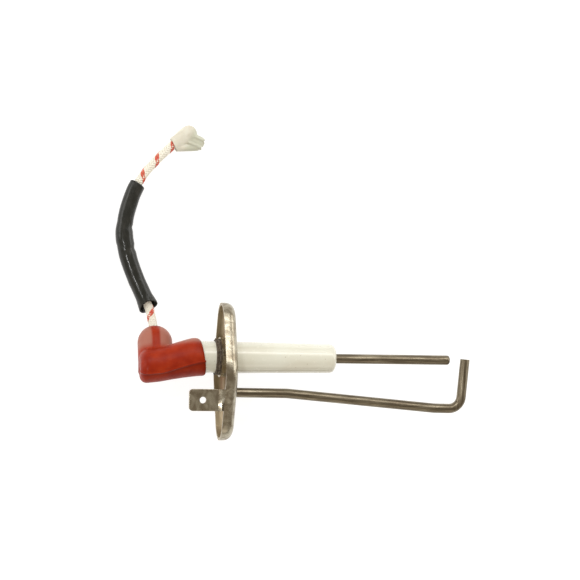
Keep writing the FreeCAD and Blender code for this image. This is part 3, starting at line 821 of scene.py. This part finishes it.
def rounded_heel():
    """Profile points of the spout's inner end, whose edge is rounded."""
    turns = np.linspace(math.pi / 2, 0, HEEL_STEPS)
    distance = SPOUT_START + SPOUT_HEEL - SPOUT_HEEL * np.sin(turns)
    return list(zip(distance, SPOUT_RADIUS - SPOUT_HEEL + SPOUT_HEEL * np.cos(turns)))


def spout_axis():
    """Origin and direction of the boot's side spout: the lead's first run."""
    start = Vector(LEAD_ROUTE[0])
    direction = (Vector(LEAD_ROUTE[1]) - start).normalized()
    return start - direction * SPOUT_ORIGIN_DISTANCE, direction


def boot_line(x):
    """Centre and radius of the boot's body at x, in millimetres."""
    places, centres, radii = np.array(BOOT_LINE)[::-1].T
    return np.interp(x, places, centres), np.interp(x, places, radii)


def boot_body():
    """Closed mesh of the mouth and the drooping body."""
    front, rear = BOOT_LINE[0][0], BOOT_LINE[-1][0]
    share = (1 - np.cos(np.linspace(0, math.pi, BOOT_SLICES))) / 2
    angle = turns_round(ROUND_COLUMNS)
    rings = []
    for x in front + (rear - front) * share:
        centre, radius = boot_line(x)
        radius -= end_rounding(front - x, BOOT_LIP) + end_rounding(x - rear, BOOT_END_ROUNDING)
        lean = MOUTH_TILT * radius * smooth_step(x, *MOUTH_TILT_REACH)
        y = centre + radius * np.cos(angle)
        rings.append(np.stack([x - lean * np.cos(angle), y, radius * np.sin(angle)], -1) * MM)
    return ring_mesh("body", rings)


def boot_shell():
    """Mouth, body and domed spout, melted into one soft shape."""
    origin, direction = spout_axis()
    dome = [(SPOUT_DOME + SPOUT_RADIUS * math.sin(turn), SPOUT_RADIUS * math.cos(turn))
            for turn in np.linspace(0, math.asin((SPOUT_FACE - SPOUT_DOME) / SPOUT_RADIUS), DOME_STEPS)]
    boot = joined([boot_body(), lathe(rounded_heel() + dome, origin, direction)], "boot")
    modify(boot, "REMESH", mode="VOXEL", voxel_size=BOOT_VOXEL, adaptivity=0)
    modify(boot, "SMOOTH", factor=0.5, iterations=BOOT_SMOOTHING)
    return boot


def raise_seam(boot):
    """Moulding seam along the boot, the steps that it leaves, and painted shade below the seam."""
    points = vertices_of(boot.data)
    x = points[:, 0] / MM
    across = points[:, 1] - boot_line(x)[0] * MM
    angle = np.arctan2(across, points[:, 2])
    radius = np.hypot(across, points[:, 2])
    below = np.radians(np.interp(x, *SEAM_LINE)) - angle
    lower = smooth_step(below, -SEAM_BLEND, SEAM_BLEND) * smooth_step(angle, *LOWER_HALF_END)
    ridge = SEAM_HEIGHT * np.exp(-(radius * below / SEAM_WIDTH) ** 2)
    ridge = ridge * smooth_step(radius, *SEAM_FADE) - MOULD_SHRINK * lower
    depth, size, seed = BOOT_WRINKLE
    soft = depth * wrinkle(points, size, seed)
    points = points + normals_of(boot.data) * (ridge + soft)[:, None]
    points[:, 0] += MOULD_STEP * lower * smooth_step(x, *MOULD_STEP_REACH)
    boot.data.vertices.foreach_set("co", points.ravel())
    # painted shade: darker over the lower half, darkest in a line just under the seam
    shade = 0.5 + np.exp(-(radius * below / SHADE_LINE_REACH) ** 2)
    paint(boot, "crease", CREASE_SHADE * shade * lower * smooth_step(radius, *SHADE_FADE))


def bore_boot(boot):
    """Cut the hollow for the ceramic and the flared hole for the wire."""
    origin, direction = spout_axis()
    front = BOOT_LINE[0][0]
    hollow = [(-MOUTH_CLEARANCE, MOUTH_BORE), (front - MOUTH_BORE_END, MOUTH_BORE)]
    cut_with(boot, lathe(hollow, (front, PROBE_Y, 0), (-1, 0, 0)))
    hole = [(SPOUT_ORIGIN_DISTANCE, WIRE_BORE), (SPOUT_FACE - FLARE_DEPTH, WIRE_BORE),
            (SPOUT_FACE + SPOUT_CLEARANCE, WIRE_BORE + WIRE_BORE_FLARE)]
    cut_with(boot, lathe(hole, origin, direction, WIRE_BORE_COLUMNS))


def paint_spout(boot):
    """Painted sheen on the spout's two sides, left out along a strip down its middle, and a grey-brown tint
    round the wire's hole.
    """
    origin, direction = spout_axis()
    points = vertices_of(boot.data) / MM - np.array(origin)
    along = points @ np.array(direction)
    away = np.linalg.norm(points - along[:, None] * np.array(direction), axis=1)
    # grey-brown tint round the wire's hole
    rim = smooth_step(along, SPOUT_FACE - HOLE_RIM_DEPTH[0], SPOUT_FACE - HOLE_RIM_DEPTH[1])
    paint(boot, "hole_rim_tint", smooth_step(away, *HOLE_RIM_REACH) * rim)
    # painted sheen: pale on the spout's two sides, none along the strip down its middle
    sheen_sides = smooth_step(abs(points[:, 0] + SHEEN_GAP_OFFSET), *SHEEN_GAP_WIDTH)
    bloom_and_sheen = SHEEN_STRENGTH * sheen_sides * smooth_step(along, *SHEEN_START) * smooth_step(away, *SHEEN_CLEAR)
    paint(boot, "bloom_and_sheen", bloom_and_sheen)


def elbow_boot():
    """The boot with its seam, its bores, its painted sheen and shade, and the grey-brown rim of the wire's
    hole.
    """
    boot = boot_shell()
    raise_seam(boot)
    bore_boot(boot)
    paint_spout(boot)
    dress(boot.data, MATERIALS["red_silicone"])
    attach(boot, "lead")
    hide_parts("elbow_boot")


elbow_boot()


# ---------------------------------------------------------------- packing round the ceramic

PACKING_LINE = (            # x and radius of the ring's section, round it once
    (-2.0, 4.64), (-2.0, 5.08), (-3.9, 5.08), (-4.1, 5.22), (-4.35, 5.30), (-4.6, 5.22), (-4.8, 5.02),
    (-4.95, 5.05), (-5.1, 5.18), (-5.3, 5.16), (-5.45, 5.0), (-5.5, 4.8), (-5.5, 4.64),
)
PACKING_COLUMNS = 160
PACKING_WOBBLE = 0.16
LOOSE_FROM = (3.8, 4.4)     # towards the rear, where the collar no longer holds the rope
LOOSE_OUTSIDE = (4.7, 4.95)     # and out from the ceramic
NIB_REACH = 0.35            # of the two burrs where the ring's ends meet
NIB_WIDTH = 0.09
NIB_START = (5.0, 5.4)


def packing_ring():
    """Rope packing pressed in round the ceramic, with a groove between its two turns."""
    angle = turns_round(PACKING_COLUMNS)
    rings = []
    for x, radius in PACKING_LINE:
        loose = smooth_step(-x, *LOOSE_FROM) * smooth_step(radius, *LOOSE_OUTSIDE)
        wave = np.sin(5 * angle + 1.0) + 0.6 * np.sin(11 * angle + x) + 0.4 * np.sin(23 * angle + 3 * x)
        nib = np.exp(-(abs(np.sin(angle)) / NIB_WIDTH) ** 2) * smooth_step(-x, *NIB_START)
        reach = radius + loose * (0.35 * PACKING_WOBBLE * wave + NIB_REACH * nib)
        place = x + loose * 0.5 * PACKING_WOBBLE * wave
        rings.append(np.stack([place, PROBE_Y + reach * np.cos(angle), reach * np.sin(angle)], -1) * MM)
    ring = add_piece("packing_ring", looped_mesh("packing", rings), "electrode",
                     MATERIALS["dark_packing"])
    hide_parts("collar_packing")


packing_ring()


# ---------------------------------------------------------------- cover on the far end

TERMINAL_CORNER = Vector((-14.3, 68.4, -9.5))
WIRE_ANGLE = math.radians(39)
MOUTH_ANGLE = math.radians(-22)
BODY_CENTRE = Vector((-14.13, 68.19, -9.5))
BODY_ANGLE = math.radians(36)
WEB_CENTRE = Vector((-12.9, 65.2, -9.5))
WEB_ANGLE = math.radians(3)
COVER_ARMS = (      # centre, direction, from, to, half widths and half heights at both ends, end rounding
    (BODY_CENTRE, BODY_ANGLE, -4.9, 4.1, (1.9, 2.75), (1.9, 1.9), 2.5),
    (TERMINAL_CORNER, MOUTH_ANGLE, 0.0, 6.8, (2.15, 2.0), (1.5, 1.25), 1.6),
    (WEB_CENTRE, WEB_ANGLE, -3.7, 3.3, (1.2, 1.1), (1.5, 1.2), 0.6),
)
RIDGE_OFFSET = 1.12         # of the receptacle's curled edges, which show as two ridges
RIDGE_START = 1.4
RIDGE_HALF_WIDTH = 0.62
RIDGE_HALF_HEIGHTS = (1.66, 1.55)
COVER_WALL = 0.35 * MM
COVER_VOXEL = 0.14 * MM
COVER_SMOOTHING = 14
COVER_SQUARENESS = 0.85
ARM_RINGS = 30
ARM_COLUMNS = 40
COVER_SLANT = math.radians(-11)     # of the cut end that the wire goes into
COVER_ENDS = (-3.83, 6.4)           # its openings for the wire and for the blade
NOTCH_RADIUS = 0.5
NOTCH_HEIGHT = 3
NOTCH_COLUMNS = 24
END_BOX_HALF = 4
END_BOX_LENGTH = 3.0
COVER_WRINKLE = (0.08 * MM, 2.2 * MM, 9)    # depth, size and seed
TERMINAL_SHOWS = (0.6, 3.0)         # along the nose, from its corner
CLOSE = 0.002                       # millimetres within which a face counts as lying on a cut


def flat(angle):
    """Unit vector in the plane of the surface that the lead lies on."""
    return Vector((math.cos(angle), math.sin(angle), 0))


def rounded(part):
    """Bulge a sine or cosine outward, so that an oval's sides become squarer."""
    return math.copysign(abs(part) ** COVER_SQUARENESS, part)


def oval_arm(centre, angle, start, end, widths, heights, rounding):
    """Closed mesh of an arm with rounded sides and a rounded far end."""
    across = flat(angle + math.pi / 2)
    rings = []
    for share in np.sin(np.linspace(0, math.pi / 2, ARM_RINGS)):
        distance = start + (end - start) * share
        middle = centre + flat(angle) * distance
        inset = end_rounding(end - distance, rounding)
        half_width = widths[0] + (widths[1] - widths[0]) * share - inset
        half_height = heights[0] + (heights[1] - heights[0]) * share - 0.6 * inset
        rings.append([(middle + across * (half_width * rounded(math.cos(turn)))
                       + Vector((0, 0, half_height * rounded(math.sin(turn))))) * MM
                      for turn in turns_round(ARM_COLUMNS)])
    return ring_mesh("arm", rings)


def ridge_centres():
    """Where the lines of the two ridges start from."""
    across = flat(MOUTH_ANGLE + math.pi / 2) * RIDGE_OFFSET
    return TERMINAL_CORNER - across, TERMINAL_CORNER + across


def cover_ridge(centre):
    """Closed mesh of the cover's skin over one curled edge of the receptacle."""
    widths = (RIDGE_HALF_WIDTH, RIDGE_HALF_WIDTH)
    return oval_arm(centre, MOUTH_ANGLE, RIDGE_START, COVER_ENDS[1] + 0.2, widths, RIDGE_HALF_HEIGHTS, 0.5)


def end_box(centre, angle, start):
    """Box across the whole end of an arm, to cut it open."""
    corners = ((-1, -1), (1, -1), (1, 1), (-1, 1))
    rings = []
    for distance in (start, start + END_BOX_LENGTH):
        middle = centre + flat(angle) * distance
        rings.append([(middle + flat(angle + math.pi / 2) * (END_BOX_HALF * side)
                       + Vector((0, 0, END_BOX_HALF * height))) * MM for side, height in corners])
    return ring_mesh("end", rings)


def end_notch(centre):
    """Upright round bar at the end of a ridge: the cover is cut back there and the curl's end shows."""
    profile = [(0, 0), (0, NOTCH_RADIUS), (NOTCH_HEIGHT, NOTCH_RADIUS), (NOTCH_HEIGHT, 0)]
    return lathe(profile, centre + flat(MOUTH_ANGLE) * COVER_ENDS[1], (0, 0, 1), NOTCH_COLUMNS)


def closes_an_end(centre):
    """Whether a face with this centre closes one of the cover's cut openings."""
    spot = centre / MM
    along_wire = (spot - TERMINAL_CORNER).dot(flat(WIRE_ANGLE + COVER_SLANT))
    along_nose = (spot - TERMINAL_CORNER).dot(flat(MOUTH_ANGLE))
    if along_wire < COVER_ENDS[0] + CLOSE or along_nose > COVER_ENDS[1] - CLOSE:
        return True
    feet = [ridge + flat(MOUTH_ANGLE) * COVER_ENDS[1] for ridge in ridge_centres()]
    return any((spot - foot).xy.length < NOTCH_RADIUS - CLOSE / 2 for foot in feet)


def open_ends(cover):
    """Take away the faces that close the cut openings."""
    work = bmesh.new()
    work.from_mesh(cover.data)
    closing = [face for face in work.faces if closes_an_end(face.calc_center_median())]
    bmesh.ops.delete(work, geom=closing, context="FACES")
    work.to_mesh(cover.data)
    work.free()


def terminal_cover():
    """Thin soft cover: three arms and two ridges melted together, open at the wire and at its nose."""
    skins = [oval_arm(*arm) for arm in COVER_ARMS] + [cover_ridge(centre) for centre in ridge_centres()]
    cover = joined(skins, "terminal_cover_skin")
    modify(cover, "REMESH", mode="VOXEL", voxel_size=COVER_VOXEL, adaptivity=0)
    modify(cover, "SMOOTH", factor=0.5, iterations=COVER_SMOOTHING)
    points = vertices_of(cover.data)
    depth, size, seed = COVER_WRINKLE
    shift = normals_of(cover.data) * (depth * wrinkle(points, size, seed))[:, None]
    cover.data.vertices.foreach_set("co", (points + shift).ravel())
    cut_with(cover, end_box(TERMINAL_CORNER, WIRE_ANGLE + COVER_SLANT, COVER_ENDS[0] - END_BOX_LENGTH))
    cut_with(cover, end_box(TERMINAL_CORNER, MOUTH_ANGLE, COVER_ENDS[1]))
    for centre in ridge_centres():
        cut_with(cover, end_notch(centre))
    open_ends(cover)
    along = (vertices_of(cover.data) / MM - np.array(TERMINAL_CORNER)) @ np.array(flat(MOUTH_ANGLE))
    paint(cover, "terminal", smooth_step(along, *TERMINAL_SHOWS))
    modify(cover, "SOLIDIFY", thickness=COVER_WALL, offset=-1)
    dress(cover.data, MATERIALS["milky_cover"])
    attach(cover, "lead")
    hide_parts("terminal_cover")
    return cover


cover = terminal_cover()


# ---------------------------------------------------------------- floor and light

AIM = Vector((0, 0.02, 0))
WHITE = (1, 1, 1)
LIGHTS = (                  # name, place, size, strength and colour
    ("key", (0.05, 1.0, 0.95), (1.6, 1.1), 1.15, WHITE),
    ("strip", (0.20, 0.80, 0.98), (1.6, 0.13), 4.8, WHITE),
    ("left", (-1.0, 0.35, 0.35), (0.8, 0.55), 2.6, WHITE),
    ("right", (1.0, 0.35, 0.35), (0.8, 0.55), 2.6, WHITE),
    ("lamp", (-0.40, -0.15, 0.78), (0.08, 0.08), 60, WHITE),
    ("low", (0.0, -1.0, 0.5), (0.9, 0.4), 0.9, (1.0, 0.92, 0.82)),
)
FLOOR_HALF = 3.0
FLOOR_GAP = 0.05 * MM       # keeps the floor just clear of the part
FLOOR_COLOUR = (0.35, 0.35, 0.35)
FLOOR_GLOW = 0.82
SURROUND_COLOUR = (1.0, 0.90, 0.76, 1)
SURROUND_STRENGTH = 0.46


def area_light(name, place, size, strength, colour):
    """Soft box aimed at the object; its strength is the radiance that it sends out."""
    data = bpy.data.lights.new(name, "AREA")
    data.shape = "RECTANGLE"
    data.size, data.size_y = size
    data.energy = strength * math.pi * size[0] * size[1]
    data.color = colour
    light = bpy.data.objects.new(name, data)
    light.location = place
    light.rotation_euler = (AIM - Vector(place)).to_track_quat("-Z", "Y").to_euler()
    bpy.context.scene.collection.objects.link(light)


def make_floor():
    """Plain pale surface under the part."""
    z = SURFACE_Z - FLOOR_GAP
    corners = [(-FLOOR_HALF, -FLOOR_HALF, z), (FLOOR_HALF, -FLOOR_HALF, z),
               (FLOOR_HALF, FLOOR_HALF, z), (-FLOOR_HALF, FLOOR_HALF, z)]
    mesh = mesh_of("floor", corners, [(0, 1, 2, 3)])
    floor = add_object("floor", mesh)
    look = Finish("floor", FLOOR_COLOUR, 0.9, Emission_Color=(1, 1, 1, 1), Emission_Strength=FLOOR_GLOW)
    mesh.materials.append(look.material)


def make_world():
    """Dim warm surround."""
    world = bpy.data.worlds.new("surround")
    world.use_nodes = True
    back = world.node_tree.nodes["Background"]
    back.inputs["Color"].default_value = SURROUND_COLOUR
    back.inputs["Strength"].default_value = SURROUND_STRENGTH
    bpy.context.scene.world = world


make_floor()
make_world()
for settings in LIGHTS:
    area_light(*settings)
bpy.context.scene.view_settings.view_transform = "Standard"
